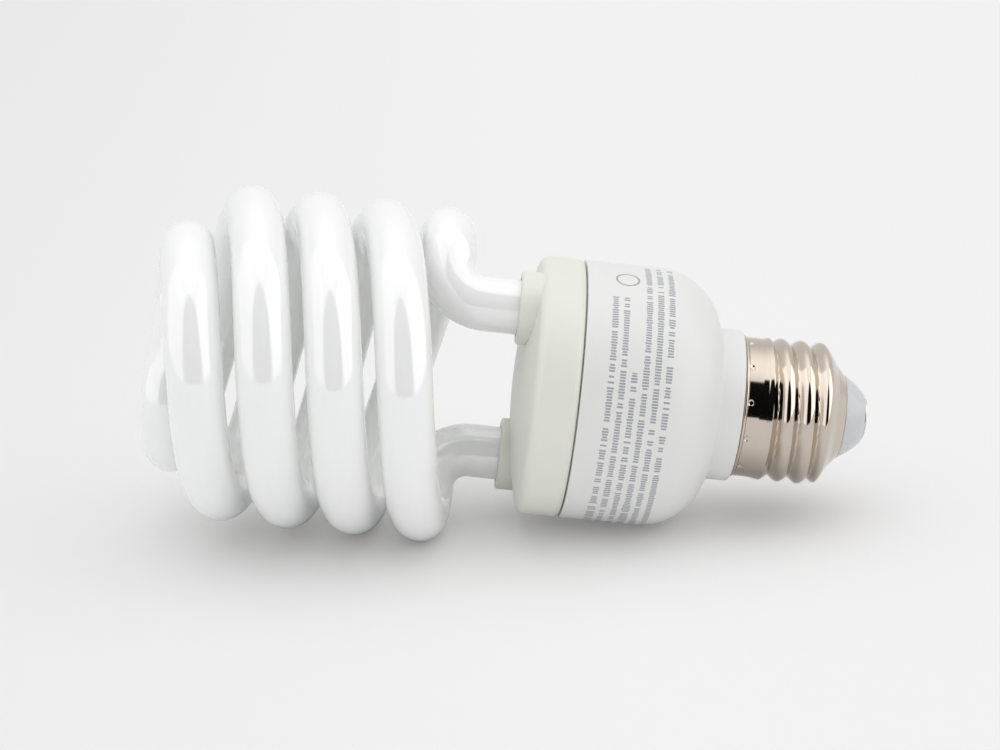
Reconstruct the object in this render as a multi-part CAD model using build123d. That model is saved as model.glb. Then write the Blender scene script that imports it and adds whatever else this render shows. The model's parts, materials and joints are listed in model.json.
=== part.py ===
from build123d import *
import math
import os

# A spiral compact fluorescent lamp, lying on its side as it comes to rest.
#
# The pieces are drawn in the lamp's own frame, in millimetres: Z runs along the lamp's axis from the
# centre contact (zero) to the tip of the spiral, X points up and Y away from the viewer once the lamp
# lies down. Angles round the axis start at X and turn towards Y. At the end every piece takes the same
# tilt and lift, which are worked out from where the spiral and the housing touch the ground.

FULL_TURN = 360.0

# Spiral glass tube, a double helix of one bent tube
TUBE_RADIUS = 4.9
HELIX_RADIUS = 25.6
HELIX_PITCH = 24.2
HELIX_ABOVE_COLLARS = 12.0
CORNER_STEP = 30.0
FIRST_CORNER = 10.0
LAST_CORNER = 700.0
SHRINK_ANGLE = 480.0
CLOSE_ANGLE = 840.0
SHRINK_POWER = 3.4
ARC_SHARE = 0.45
CROSSING_OUTER = 18.5
CROSSING_OUTER_ANGLE = 733.0
CROSSING_OUTER_RISE = 0.8
CROSSING_INNER = 11.0
CROSSING_INNER_ANGLE = 775.0
CROSSING_INNER_RISE = 1.3

# Legs of the tube, one on each side of the axis
LEG_RADIUS = 16.2
LEG_ANGLE = -17.0
LEG_ABOVE_BOARD = 3.8
LEG_BEND_RADIUS = 7.4
LEG_BEND_DROP = 0.3
SAG_AT_CORNERS = (-0.6, 0.7, 1.9, 1.1)

# Ballast housing, the lower half of the plastic case
HOUSING_RADIUS = 23.5
HOUSING_WALL = 1.6
SHOULDER_RADIUS = 12.0
SHOULDER_TOP = 40.0
NECK_RADIUS = 13.8
NECK_START = 23.9
SPIGOT_START = 19.3
SPIGOT_WALL = 1.5
RIB_COUNT = 6
RIB_WIDTH = 1.6
RIB_REACH = 2.4
RIB_LENGTH = 9.0

# Tube holder, the domed upper half of the plastic case
SEAM = 54.0
SEAM_GAP = 0.3
BEVEL_WIDTH = 0.9
BEVEL_DEPTH = 0.45
COVER_HEIGHT = 7.9
COVER_EDGE_RADIUS = 2.0
COVER_CROWN = 2.5
COVER_WALL = 1.6
COLLAR_RADIUS = 6.6
COLLAR_RISE = 0.9
COLLAR_CHAMFER = 0.4
COLLAR_DEPTH = 8.5
TUBE_CLEARANCE = 0.5
SKIRT_WALL = 1.3
SKIRT_CLEARANCE = 0.1
HOOK_COUNT = 4
HOOK_FIRST = 45.0
HOOK_SPAN = 22.0
POCKET_SPAN = 24.0
HOOK_HEIGHT = 1.2
HOOK_DEPTH = 0.5
HOOK_DROP = 3.0
HOOK_CLEARANCE = 0.1

# Screw shell, rolled from thin plated sheet
SHELL_WALL = 0.3
THREAD_CREST = 13.03
THREAD_ROOT = 11.95
THREAD_PITCH = 3.63
THREAD_BELOW = 5.5
THREAD_TURNS = 4
THREAD_FADE = 20.4
CREST_CLEARANCE = 0.2
RIDGE_TOP_HALF = 0.8
RIDGE_TOP_DROP = 0.42
RIDGE_FOOT_HALF = 1.5
RIDGE_EMBED = 0.25
RIDGE_INNER_TRIM = 0.15
BARREL_RADIUS = 12.7
BARREL_START = 18.9
BARREL_BLEND = 1.0
FADE_START = 18.4
HEM_RADIUS = 13.0
HEM_WIDTH = 0.6
HEM_GAP = 0.15
NOSE_BODY = 8.3
NOSE_START = 6.5
NOSE_RADIUS = 9.9
NOSE_FADE = 9.2
LIP_START = 4.6
LIP_RADIUS = 7.75
SPIGOT_CLEARANCE = 0.1

# End insulator and centre contact
INSULATOR_NOSE = 1.9
INSULATOR_NOSE_RADIUS = 6.0
INSULATOR_FACE_RADIUS = 4.4
INSULATOR_FACE_RISE = 0.35
INSULATOR_FLANGE = 1.4
INSULATOR_CLEARANCE = 0.05
CONTACT_RADIUS = 3.9
CONTACT_HEIGHT = 0.7
CONTACT_EDGE = 0.25
RIVET_RADIUS = 1.3
RIVET_LENGTH = 6.2
RIVET_BORE = 0.5

# Circuit board, held between the ribs and the holder's skirt
BOARD_THICKNESS = 1.6
BOARD_BELOW_SEAM = 7.4
BOARD_CLEARANCE = 0.4
SEAT_GAP = 0.1

# Ballast parts on the cap side of the board
CHOKE_X = -11.0
CHOKE_WIDTH = 16.0
CHOKE_CORE_DEPTH = 6.0
CHOKE_HEIGHT = 13.0
CORE_BACK = 2.5
CORE_SIDE_LEG = 2.2
CORE_MIDDLE_LEG = 4.4
CORE_JOINT = 0.05
BOBBIN_WALL = 0.8
BOBBIN_DEPTH = 12.0
BOBBIN_CLEARANCE = 0.1
WINDING_INSET = 0.4
PIN_INSET = 1.2
PIN_RADIUS = 0.4
CAPACITOR_X = 2.6
CAPACITOR_RADIUS = 5.0
CAPACITOR_LENGTH = 19.0
CAPACITOR_LEADS = 2.5
CAPACITOR_GROOVE = 1.8
CAPACITOR_GROOVE_DEPTH = 0.35
CAPACITOR_EDGE = 0.4
LEAD_RADIUS = 0.3
CAPACITOR_LEAD_OFFSET = 2.5
TOROID_X = 9.0
TOROID_Y = -11.5
TOROID_OUTER = 4.8
TOROID_INNER = 2.6
TOROID_HEIGHT = 3.6
TOROID_WINDINGS = 3
TOROID_WIRE = 0.6
TOROID_SPREAD = 70.0
TRANSISTOR_WIDTH = 7.8
TRANSISTOR_DEPTH = 2.8
TRANSISTOR_HEIGHT = 10.8
TRANSISTOR_LEADS = 3.2
TRANSISTOR_HOLE = 1.6
TRANSISTOR_HOLE_DROP = 3.7
TRANSISTOR_PITCH = 2.3
FILM_EDGE = 0.7
FILM_LEADS = 1.5
DRUM_X = -3.0
DRUM_Y = -15.2
DRUM_RADIUS = 3.4
DRUM_HEIGHT = 7.0
DRUM_FLANGE = 1.0
DRUM_CORE = 1.6
DRUM_STAND = 0.6
THERMISTOR_X = 1.0
THERMISTOR_Y = 16.6
THERMISTOR_RADIUS = 2.6
THERMISTOR_THICKNESS = 2.2
THERMISTOR_STAND = 1.2
THERMISTOR_LEAD_OFFSET = 1.6

# Small axial parts on the tube side of the board
AXIAL_STAND = 0.25
AXIAL_LEAD_REACH = 1.2
AXIAL_EDGE = 0.3
DIODE_RADIUS = 1.3
DIODE_LENGTH = 4.6
RESISTOR_RADIUS = 1.15
RESISTOR_LENGTH = 5.6
TRIGGER_RADIUS = 0.95
TRIGGER_LENGTH = 3.8

# Wires, wrap pins and the fuse resistor
WRAP_PIN = 0.8
WRAP_PIN_HEIGHT = 3.0
WRAP_PIN_RADIUS = 19.0
WRAP_PIN_TURN = 22.0
LEAD_IN_RADIUS = 0.25
LEAD_IN_OFFSET = 2.4
LEAD_IN_DROP = 1.4
MAINS_WIRE_RADIUS = 0.45
MAINS_WIRE_BEND = 2.5
FUSE_RADIUS = 1.5
FUSE_LENGTH = 8.0
FUSE_TOP = 38.0
CONTACT_WIRE_X = 9.3
CONTACT_WIRE_TURN = 17.0
CONTACT_WIRE_LOW = 11.0

# Heights above the contact that follow from the sizes above
COVER_EDGE = SEAM + COVER_HEIGHT
COLLAR_END = COVER_EDGE + COVER_CROWN + COLLAR_RISE
HELIX_START = COLLAR_END + HELIX_ABOVE_COLLARS
BOARD_UNDERSIDE = SEAM - BOARD_BELOW_SEAM
LEG_END = BOARD_UNDERSIDE + BOARD_THICKNESS + LEG_ABOVE_BOARD

# Where the board parts stand: places on the board as (x, y) and turns in degrees
TRANSISTOR_PLACES = {"transistor_a": (14.8, -1.5, 90.0), "transistor_b": (10.8, 10.2, 0.0)}
FILM_CAPACITORS = {
    "resonant_capacitor": (-8.0, 13.6, 15.0, 10.0, 4.6, 9.0),
    "blocking_capacitor": (-11.0, -12.6, -20.0, 7.6, 4.0, 7.5),
    "snubber_capacitor": (4.2, 7.7, 0.0, 5.0, 3.0, 5.5),
    "trigger_capacitor": (-3.0, -9.4, 0.0, 4.6, 2.8, 5.0),
}
AXIAL_PARTS = {
    "rectifier_diode_1": (-7.5, -6.0, 0.0, "diode"),
    "rectifier_diode_2": (-7.5, -2.0, 0.0, "diode"),
    "rectifier_diode_3": (-7.5, 2.0, 0.0, "diode"),
    "rectifier_diode_4": (-7.5, 6.0, 0.0, "diode"),
    "base_resistor_1": (3.0, 11.5, 0.0, "resistor"),
    "base_resistor_2": (3.0, -11.5, 0.0, "resistor"),
    "start_resistor": (4.0, 3.2, 90.0, "resistor"),
    "emitter_resistor": (8.2, 3.2, 90.0, "resistor"),
    "bleed_resistor": (-5.5, 12.0, 30.0, "resistor"),
    "trigger_diode": (6.0, -5.4, 0.0, "trigger"),
}


def polar(radius, angle, height=0.0):
    """A point given by its distance from the axis, its angle round it and its height."""
    turn = math.radians(angle)
    return Vector(radius * math.cos(turn), radius * math.sin(turn), height)


def section(*edges):
    """A closed outline in the plane of radius and height."""
    return make_face([Plane.XZ * edge for edge in edges])


def revolved(outline):
    """A body of revolution from a closed outline of (radius, height) corners."""
    return revolve(section(Polyline(*outline, close=True)), Axis.Z)


def ring(outer, inner, low, high):
    """A plain ring round the axis."""
    return Pos(0, 0, (low + high) / 2) * (Cylinder(outer, high - low) - Cylinder(inner, high - low))


def post(x, y, low, high, radius):
    """A round post along the lamp's axis."""
    return Pos(x, y, (low + high) / 2) * Cylinder(radius, high - low)


def ring_sector(inner, outer, low, high, middle, span):
    """Part of a ring, centred on an angle."""
    outline = [(inner, low), (outer, low), (outer, high), (inner, high)]
    return Rot(0, 0, middle - span / 2) * revolve(section(Polyline(*outline, close=True)), Axis.Z, span)


# The glass tube

def coil_radius(angle):
    """The coil keeps its radius for most of its length and draws in towards the tip."""
    share = max(0.0, (angle - SHRINK_ANGLE) / (CLOSE_ANGLE - SHRINK_ANGLE))
    return HELIX_RADIUS * (1.0 - share ** SHRINK_POWER)


def coil_height(angle):
    """The coil climbs evenly with its angle."""
    return HELIX_START + HELIX_PITCH * angle / FULL_TURN


def strand_corners(turned, sags):
    """Corners of one strand, set so that arcs between them touch the coil's radius."""
    corners = []
    reach = 1.0 / math.cos(math.radians(CORNER_STEP / 2.0))
    for step in range(round((LAST_CORNER - FIRST_CORNER) / CORNER_STEP) + 1):
        angle = FIRST_CORNER + CORNER_STEP * step
        sag = sags[step] if step < len(sags) else 0.0
        corners.append(polar(coil_radius(angle) * reach, angle + turned, coil_height(angle) - sag))
    top = corners[-1].Z
    corners.append(polar(CROSSING_OUTER, CROSSING_OUTER_ANGLE + turned, top + CROSSING_OUTER_RISE))
    corners.append(polar(CROSSING_INNER, CROSSING_INNER_ANGLE + turned, top + CROSSING_INNER_RISE))
    bend_height = corners[0].Z - LEG_BEND_DROP
    leg = [polar(LEG_RADIUS, LEG_ANGLE + turned, height) for height in (LEG_END, bend_height)]
    return leg + corners


def arc_radius(before, corner, after):
    """The largest arc that leaves its neighbours room on both runs."""
    half_turn = math.radians((corner - before).get_angle(after - corner)) / 2.0
    run = min((corner - before).length, (after - corner).length)
    return ARC_SHARE * run / math.tan(half_turn)


def glass_tube():
    """One closed glass tube: leg, strand, the S at the tip that crosses the axis, strand and leg."""
    route = strand_corners(0.0, SAG_AT_CORNERS) + list(reversed(strand_corners(180.0, ())))
    radii = [arc_radius(*three) for three in zip(route, route[1:], route[2:])]
    radii[0] = radii[-1] = LEG_BEND_RADIUS
    path = FilletPolyline(*route, radius=radii)
    print("glass tube: tightest bend", round(min(radii), 1), "mm, length", round(path.length, 1), "mm")
    return sweep(Plane(route[0], z_dir=(0, 0, 1)) * Circle(TUBE_RADIUS), path=path)


# The plastic case

def arc_angle(radius):
    """Angle on the shoulder arc at which it reaches a radius, from the cylinder downwards."""
    return math.degrees(math.acos((radius - HOUSING_RADIUS + SHOULDER_RADIUS) / SHOULDER_RADIUS))


def housing_inside():
    return HOUSING_RADIUS - HOUSING_WALL


def spigot_radius():
    return BARREL_RADIUS - SHELL_WALL - SPIGOT_CLEARANCE


def ballast_housing():
    """The lower case half: a cylinder, a full shoulder, a neck ring and the spigot for the screw shell."""
    centre = (HOUSING_RADIUS - SHOULDER_RADIUS, SHOULDER_TOP)
    turn = arc_angle(NECK_RADIUS)
    outer = CenterArc(centre, SHOULDER_RADIUS, -turn, turn)
    inner = CenterArc(centre, SHOULDER_RADIUS - HOUSING_WALL, -90, 90)
    rim = SEAM - SEAM_GAP
    outside = Polyline(outer @ 0, (NECK_RADIUS, NECK_START), (spigot_radius(), NECK_START),
                       (spigot_radius(), SPIGOT_START), (spigot_radius() - SPIGOT_WALL, SPIGOT_START),
                       (spigot_radius() - SPIGOT_WALL, (inner @ 0).Y), inner @ 0)
    top = Polyline(outer @ 1, (HOUSING_RADIUS, rim), (housing_inside(), rim), inner @ 1)
    body = revolve(section(outer, outside, inner, top), Axis.Z)
    rib_middle = BOARD_UNDERSIDE - RIB_LENGTH / 2
    rib_root = housing_inside() + HOUSING_WALL / 4
    for index in range(RIB_COUNT):
        rib = Pos(rib_root - (RIB_REACH + HOUSING_WALL / 4) / 2, 0, rib_middle)
        rib *= Box(RIB_REACH + HOUSING_WALL / 4, RIB_WIDTH, RIB_LENGTH)
        body += Rot(0, 0, FULL_TURN * index / RIB_COUNT) * rib
    low = SEAM - HOOK_DROP - HOOK_HEIGHT - HOOK_CLEARANCE
    high = SEAM - HOOK_DROP + HOOK_CLEARANCE
    pocket = housing_inside() - SKIRT_CLEARANCE + HOOK_DEPTH + HOOK_CLEARANCE
    for index in range(HOOK_COUNT):
        middle = FULL_TURN * index / HOOK_COUNT + HOOK_FIRST
        body -= ring_sector(housing_inside() - HOOK_DEPTH, pocket, low, high, middle, POCKET_SPAN)
    return body


def leg_place(turned):
    return polar(LEG_RADIUS, LEG_ANGLE + turned)


def holder_cover():
    """The upper case half: a low dome with a collar for each leg, and a skirt that snaps into the housing."""
    edge_in = COVER_EDGE_RADIUS
    corner = (HOUSING_RADIUS - edge_in, COVER_EDGE - edge_in)
    rounding = CenterArc(corner, edge_in, 0, 90)
    crown = COVER_EDGE + COVER_CROWN
    dome_radius = ((HOUSING_RADIUS - edge_in) ** 2 + COVER_CROWN ** 2) / (2 * COVER_CROWN)
    dome = ThreePointArc(rounding @ 1, dome_point(corner[0] / 2, dome_radius, crown), (0, crown))
    low_crown = crown - COVER_WALL
    inner_corner = (corner[0], dome_point(corner[0], dome_radius, low_crown)[1])
    under = ThreePointArc((0, low_crown), dome_point(corner[0] / 2, dome_radius, low_crown), inner_corner)
    skirt_out = housing_inside() - SKIRT_CLEARANCE
    skirt_in = skirt_out - SKIRT_WALL
    skirt_low = BOARD_UNDERSIDE + BOARD_THICKNESS + SEAT_GAP
    inside = Polyline(inner_corner, (skirt_out, inner_corner[1] - COVER_WALL / 2),
                      (skirt_out, SEAM + 2 * COVER_WALL), (skirt_in, SEAM + COVER_WALL),
                      (skirt_in, skirt_low), (skirt_out, skirt_low), (skirt_out, SEAM),
                      (HOUSING_RADIUS - BEVEL_DEPTH, SEAM), (HOUSING_RADIUS, SEAM + BEVEL_WIDTH), rounding @ 0)
    axis_line = Line((0, crown), (0, low_crown))
    body = revolve(section(rounding, dome, axis_line, under, inside), Axis.Z)
    for turned in (0.0, 180.0):
        place = leg_place(turned)
        collar = post(place.X, place.Y, COLLAR_END - COLLAR_DEPTH, COLLAR_END, COLLAR_RADIUS)
        collar = chamfer(collar.edges().group_by(Axis.Z)[-1], COLLAR_CHAMFER)
        body += collar
    for turned in (0.0, 180.0):
        place = leg_place(turned)
        body -= post(place.X, place.Y, COLLAR_END - 2 * COLLAR_DEPTH, COLLAR_END + COLLAR_CHAMFER,
                     TUBE_RADIUS + TUBE_CLEARANCE)
    for index in range(HOOK_COUNT):
        middle = FULL_TURN * index / HOOK_COUNT + HOOK_FIRST
        body += ring_sector(skirt_out - SKIRT_WALL / 2, skirt_out + HOOK_DEPTH, SEAM - HOOK_DROP - HOOK_HEIGHT,
                            SEAM - HOOK_DROP, middle, HOOK_SPAN)
    return body


def dome_point(radius, dome_radius, crown):
    """A point of the dome's section at a distance from the axis."""
    return (radius, crown - dome_radius + math.sqrt(dome_radius ** 2 - radius ** 2))


def tube_cement():
    """The cement that fills the gap between each leg and its collar."""
    low = COLLAR_END - COLLAR_DEPTH
    high = COLLAR_END - 2 * COLLAR_CHAMFER
    cement = ring(TUBE_RADIUS + TUBE_CLEARANCE, TUBE_RADIUS, low, high)
    return [Pos(*leg_place(turned)) * cement for turned in (0.0, 180.0)]


# The lamp cap

def thread_turn(inset, trim):
    """One turn of the rolled thread's helical ridge, drawn in by an inset for the inner face."""
    crest = THREAD_CREST - inset
    shoulder = crest - RIDGE_TOP_DROP
    foot = THREAD_ROOT - inset - RIDGE_EMBED
    top = RIDGE_TOP_HALF - trim
    wide = RIDGE_FOOT_HALF - trim
    arc = ThreePointArc((shoulder, -top), (crest, 0), (shoulder, top))
    outline = section(arc, Polyline((shoulder, top), (foot, wide), (foot, -wide), (shoulder, -top)))
    return sweep(outline, path=Helix(THREAD_PITCH, THREAD_PITCH, THREAD_ROOT), is_frenet=True)


def plain_body(inset):
    """The shell's plain body of revolution, without the thread."""
    return revolved([
        (0, LIP_START), (LIP_RADIUS - inset, LIP_START), (NOSE_RADIUS - inset, NOSE_START + inset / 3),
        (THREAD_ROOT - inset, NOSE_BODY + inset / 3), (THREAD_ROOT - inset, BARREL_START - BARREL_BLEND),
        (BARREL_RADIUS - inset, BARREL_START), (BARREL_RADIUS - inset, NECK_START - HEM_GAP),
        (0, NECK_START - HEM_GAP)])


def thread_limit(inset):
    """The space that the ridge may fill, so that it fades out on the nose and on the barrel."""
    reach = THREAD_CREST + CREST_CLEARANCE - inset
    return revolved([
        (0, NOSE_START), (NOSE_RADIUS - inset, NOSE_START), (reach, NOSE_FADE), (reach, FADE_START),
        (BARREL_RADIUS - inset, THREAD_FADE), (0, THREAD_FADE)])


def threaded_body(inset, trim):
    """The shell as one full body, its thread added turn by turn."""
    body = plain_body(inset)
    limit = thread_limit(inset)
    turn = thread_turn(inset, trim)
    for index in range(THREAD_TURNS):
        body += (Pos(0, 0, THREAD_BELOW + THREAD_PITCH * index) * turn) & limit
    return body


def screw_shell():
    """The rolled screw shell: lip, nose, thread, plain barrel and hem, all of one thin wall."""
    hem_top = NECK_START - HEM_GAP
    hem = ring(HEM_RADIUS, BARREL_RADIUS - SHELL_WALL, hem_top - HEM_WIDTH, hem_top)
    return threaded_body(0.0, 0.0) - threaded_body(SHELL_WALL, RIDGE_INNER_TRIM) + hem


def end_insulator():
    """The moulded insulator: a cone in front of the lip, a waist in it and a flange behind it."""
    gap = INSULATOR_CLEARANCE
    waist = LIP_RADIUS - SHELL_WALL - gap
    back = NOSE_START + INSULATOR_FLANGE
    body = revolved([
        (RIVET_RADIUS + gap, CONTACT_HEIGHT), (CONTACT_RADIUS + gap, CONTACT_HEIGHT),
        (CONTACT_RADIUS + gap, INSULATOR_FACE_RISE), (INSULATOR_FACE_RADIUS, INSULATOR_FACE_RISE),
        (INSULATOR_NOSE_RADIUS, INSULATOR_NOSE), (LIP_RADIUS, LIP_START - gap), (waist, LIP_START - gap),
        (waist, LIP_START + gap), (NOSE_RADIUS - SHELL_WALL - gap, NOSE_START + SHELL_WALL / 3 + gap),
        (NOSE_RADIUS - SHELL_WALL - gap, back), (RIVET_RADIUS + gap, back)])
    return body


def centre_contact():
    """The centre contact: a flat button with a hollow rivet through the insulator."""
    button = post(0, 0, 0, CONTACT_HEIGHT, CONTACT_RADIUS)
    button = fillet(button.edges().group_by(Axis.Z)[0], CONTACT_EDGE)
    rivet = post(0, 0, CONTACT_HEIGHT, CONTACT_HEIGHT + RIVET_LENGTH, RIVET_RADIUS)
    bore = post(0, 0, CONTACT_HEIGHT, CONTACT_HEIGHT + RIVET_LENGTH, RIVET_BORE)
    return button + rivet - bore


# The circuit board and what stands on it

def circuit_board():
    return post(0, 0, BOARD_UNDERSIDE, BOARD_UNDERSIDE + BOARD_THICKNESS, housing_inside() - BOARD_CLEARANCE)


def choke_core(side):
    """One E-shaped half of the choke's ferrite core; side is 1 next to the board and -1 away from it."""
    middle = BOARD_UNDERSIDE - CORE_JOINT - CHOKE_HEIGHT / 2
    leg = CHOKE_HEIGHT / 2 - CORE_BACK
    half = Pos(0, 0, CHOKE_HEIGHT / 2 - CORE_BACK / 2) * Box(CHOKE_CORE_DEPTH, CHOKE_WIDTH, CORE_BACK)
    legs = [(CHOKE_WIDTH - CORE_SIDE_LEG) / 2, 0.0, -(CHOKE_WIDTH - CORE_SIDE_LEG) / 2]
    for place, width in zip(legs, (CORE_SIDE_LEG, CORE_MIDDLE_LEG, CORE_SIDE_LEG)):
        length = leg - CORE_JOINT / 2
        half += Pos(0, place, CORE_JOINT / 2 + length / 2) * Box(CHOKE_CORE_DEPTH, width, length)
    if side < 0:
        half = Rot(180, 0, 0) * half
    return Pos(CHOKE_X, 0, middle) * half


def bobbin_sizes():
    """Height of the core's window and height of the winding space in it."""
    window = CHOKE_HEIGHT - 2 * CORE_BACK - 2 * BOBBIN_CLEARANCE
    space = window - 2 * BOBBIN_WALL
    return window, space


def choke_bobbin():
    """The bobbin round the core's middle leg, with two flanges and four pins to the board."""
    window, space = bobbin_sizes()
    middle = BOARD_UNDERSIDE - CORE_JOINT - CHOKE_HEIGHT / 2
    flange_width = CHOKE_WIDTH - 2 * CORE_SIDE_LEG - 2 * BOBBIN_CLEARANCE
    hole = (CHOKE_CORE_DEPTH + 2 * BOBBIN_CLEARANCE, CORE_MIDDLE_LEG + 2 * BOBBIN_CLEARANCE)
    body = Box(hole[0] + 2 * BOBBIN_WALL, hole[1] + 2 * BOBBIN_WALL, window)
    for side in (-1, 1):
        body += Pos(0, 0, side * (window - BOBBIN_WALL) / 2) * Box(BOBBIN_DEPTH, flange_width, BOBBIN_WALL)
    body -= Box(hole[0], hole[1], window)
    for side in (-1, 1):
        for end in (-1, 1):
            x = side * (BOBBIN_DEPTH / 2 - PIN_INSET)
            y = end * (flange_width / 2 - PIN_INSET)
            body += post(x, y, window / 2 - BOBBIN_WALL / 2, BOARD_UNDERSIDE - middle, PIN_RADIUS)
    return Pos(CHOKE_X, 0, middle) * body


def choke_winding():
    """The wound coil between the bobbin's flanges."""
    window, space = bobbin_sizes()
    middle = BOARD_UNDERSIDE - CORE_JOINT - CHOKE_HEIGHT / 2
    inner = (CHOKE_CORE_DEPTH + 2 * BOBBIN_CLEARANCE + 2 * BOBBIN_WALL,
             CORE_MIDDLE_LEG + 2 * BOBBIN_CLEARANCE + 2 * BOBBIN_WALL)
    outer = (BOBBIN_DEPTH - 2 * WINDING_INSET, CHOKE_WIDTH - 2 * CORE_SIDE_LEG - 2 * WINDING_INSET)
    coil = Box(outer[0], outer[1], space)
    coil = fillet(coil.edges().filter_by(Axis.Z), (outer[1] - inner[1]) / 2)
    return Pos(CHOKE_X, 0, middle) * (coil - Box(inner[0], inner[1], space))


def storage_capacitor():
    """The tall electrolytic can, which reaches down into the neck."""
    high = BOARD_UNDERSIDE - CAPACITOR_LEADS
    low = high - CAPACITOR_LENGTH
    can = fillet(post(0, 0, low, high, CAPACITOR_RADIUS).edges(), CAPACITOR_EDGE)
    groove = high - CAPACITOR_GROOVE
    can -= ring(CAPACITOR_RADIUS + CAPACITOR_EDGE, CAPACITOR_RADIUS - CAPACITOR_GROOVE_DEPTH,
                groove - CAPACITOR_EDGE, groove + CAPACITOR_EDGE)
    for side in (-1, 1):
        can += post(0, side * CAPACITOR_LEAD_OFFSET, high - CAPACITOR_EDGE, BOARD_UNDERSIDE, LEAD_RADIUS)
    return Pos(CAPACITOR_X, 0, 0) * can


def toroid_middle():
    return BOARD_UNDERSIDE - TOROID_WIRE - TOROID_HEIGHT / 2


def toroid_core():
    """The drive transformer's ferrite ring, flat against the board."""
    half = TOROID_HEIGHT / 2
    return Pos(TOROID_X, TOROID_Y, toroid_middle()) * ring(TOROID_OUTER, TOROID_INNER, -half, half)


def toroid_windings():
    """Three short windings on the ring, as bundles that wrap its section."""
    half = TOROID_HEIGHT / 2
    bundles = []
    for index in range(TOROID_WINDINGS):
        middle = FULL_TURN * index / TOROID_WINDINGS
        bundle = ring_sector(TOROID_INNER - TOROID_WIRE, TOROID_OUTER + TOROID_WIRE, -half - TOROID_WIRE,
                             half + TOROID_WIRE, middle, TOROID_SPREAD)
        bundle -= ring(TOROID_OUTER, TOROID_INNER, -half, half)
        bundles.append(Pos(TOROID_X, TOROID_Y, toroid_middle()) * bundle)
    return bundles


def transistor(x, y, turn):
    """A flat power transistor with a hole in its body and three leads."""
    high = BOARD_UNDERSIDE - TRANSISTOR_LEADS
    body = Pos(0, 0, high - TRANSISTOR_HEIGHT / 2) * Box(TRANSISTOR_WIDTH, TRANSISTOR_DEPTH, TRANSISTOR_HEIGHT)
    hole_height = high - TRANSISTOR_HEIGHT + TRANSISTOR_HOLE_DROP
    body -= Pos(0, 0, hole_height) * Rot(90, 0, 0) * Cylinder(TRANSISTOR_HOLE, 2 * TRANSISTOR_DEPTH)
    for index in (-1, 0, 1):
        body += post(index * TRANSISTOR_PITCH, 0, high - LEAD_RADIUS, BOARD_UNDERSIDE, LEAD_RADIUS)
    return Pos(x, y, 0) * Rot(0, 0, turn) * body


def film_capacitor(x, y, turn, width, depth, height):
    """A dipped film capacitor: a block with bevelled edges on two leads."""
    high = BOARD_UNDERSIDE - FILM_LEADS
    body = Pos(0, 0, high - height / 2) * chamfer(Box(width, depth, height).edges(), FILM_EDGE)
    for side in (-1, 1):
        body += post(side * (width / 2 - 2 * FILM_EDGE), 0, high - FILM_EDGE, BOARD_UNDERSIDE, LEAD_RADIUS)
    return Pos(x, y, 0) * Rot(0, 0, turn) * body


def filter_core():
    """The drum core of the input filter choke."""
    high = BOARD_UNDERSIDE - DRUM_STAND
    low = high - DRUM_HEIGHT
    drum = revolved([
        (0, low), (DRUM_RADIUS, low), (DRUM_RADIUS, low + DRUM_FLANGE), (DRUM_CORE, low + DRUM_FLANGE),
        (DRUM_CORE, high - DRUM_FLANGE), (DRUM_RADIUS, high - DRUM_FLANGE), (DRUM_RADIUS, high), (0, high)])
    for side in (-1, 1):
        drum += post(side * (DRUM_RADIUS - PIN_INSET), 0, high - LEAD_RADIUS, BOARD_UNDERSIDE, LEAD_RADIUS)
    return Pos(DRUM_X, DRUM_Y, 0) * drum


def filter_winding():
    """The wire wound in the drum's waist."""
    high = BOARD_UNDERSIDE - DRUM_STAND - DRUM_FLANGE
    low = high - DRUM_HEIGHT + 2 * DRUM_FLANGE
    return Pos(DRUM_X, DRUM_Y, 0) * ring(DRUM_RADIUS - WINDING_INSET, DRUM_CORE, low, high)


def thermistor():
    """The preheat thermistor, a disc on edge."""
    middle = BOARD_UNDERSIDE - THERMISTOR_STAND - THERMISTOR_RADIUS
    disc = Pos(0, 0, middle) * Rot(90, 0, 0) * Cylinder(THERMISTOR_RADIUS, THERMISTOR_THICKNESS)
    for side in (-1, 1):
        disc += post(side * THERMISTOR_LEAD_OFFSET, 0, middle, BOARD_UNDERSIDE, LEAD_RADIUS)
    return Pos(THERMISTOR_X, THERMISTOR_Y, 0) * disc


def axial_part(x, y, turn, kind):
    """A small part lying on the board's tube side, its leads bent down to the board."""
    radius, length = {
        "diode": (DIODE_RADIUS, DIODE_LENGTH),
        "resistor": (RESISTOR_RADIUS, RESISTOR_LENGTH),
        "trigger": (TRIGGER_RADIUS, TRIGGER_LENGTH),
    }[kind]
    face = BOARD_UNDERSIDE + BOARD_THICKNESS
    middle = face + AXIAL_STAND + radius
    body = Cylinder(radius, length)
    body = chamfer(body.edges().filter_by(GeomType.CIRCLE), AXIAL_EDGE)
    body = Pos(0, 0, middle) * Rot(0, 90, 0) * body
    reach = length / 2 + AXIAL_LEAD_REACH
    for side in (-1, 1):
        corners = [Vector(side * (length / 2 - AXIAL_EDGE), 0, middle), Vector(side * reach, 0, middle),
                   Vector(side * reach, 0, face)]
        body += wire_run(corners, LEAD_RADIUS)
    return Pos(x, y, 0) * Rot(0, 0, turn) * body


# Pins and wires

def wire_run(corners, radius, bend=0.0):
    """A round wire through corners, bent round at each, or kinked where no bend is given."""
    section_face = Plane(corners[0], z_dir=corners[1] - corners[0]) * Circle(radius)
    if bend > 0:
        return sweep(section_face, path=FilletPolyline(*corners, radius=bend))
    return sweep(section_face, path=Polyline(*corners), transition=Transition.RIGHT)


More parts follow.
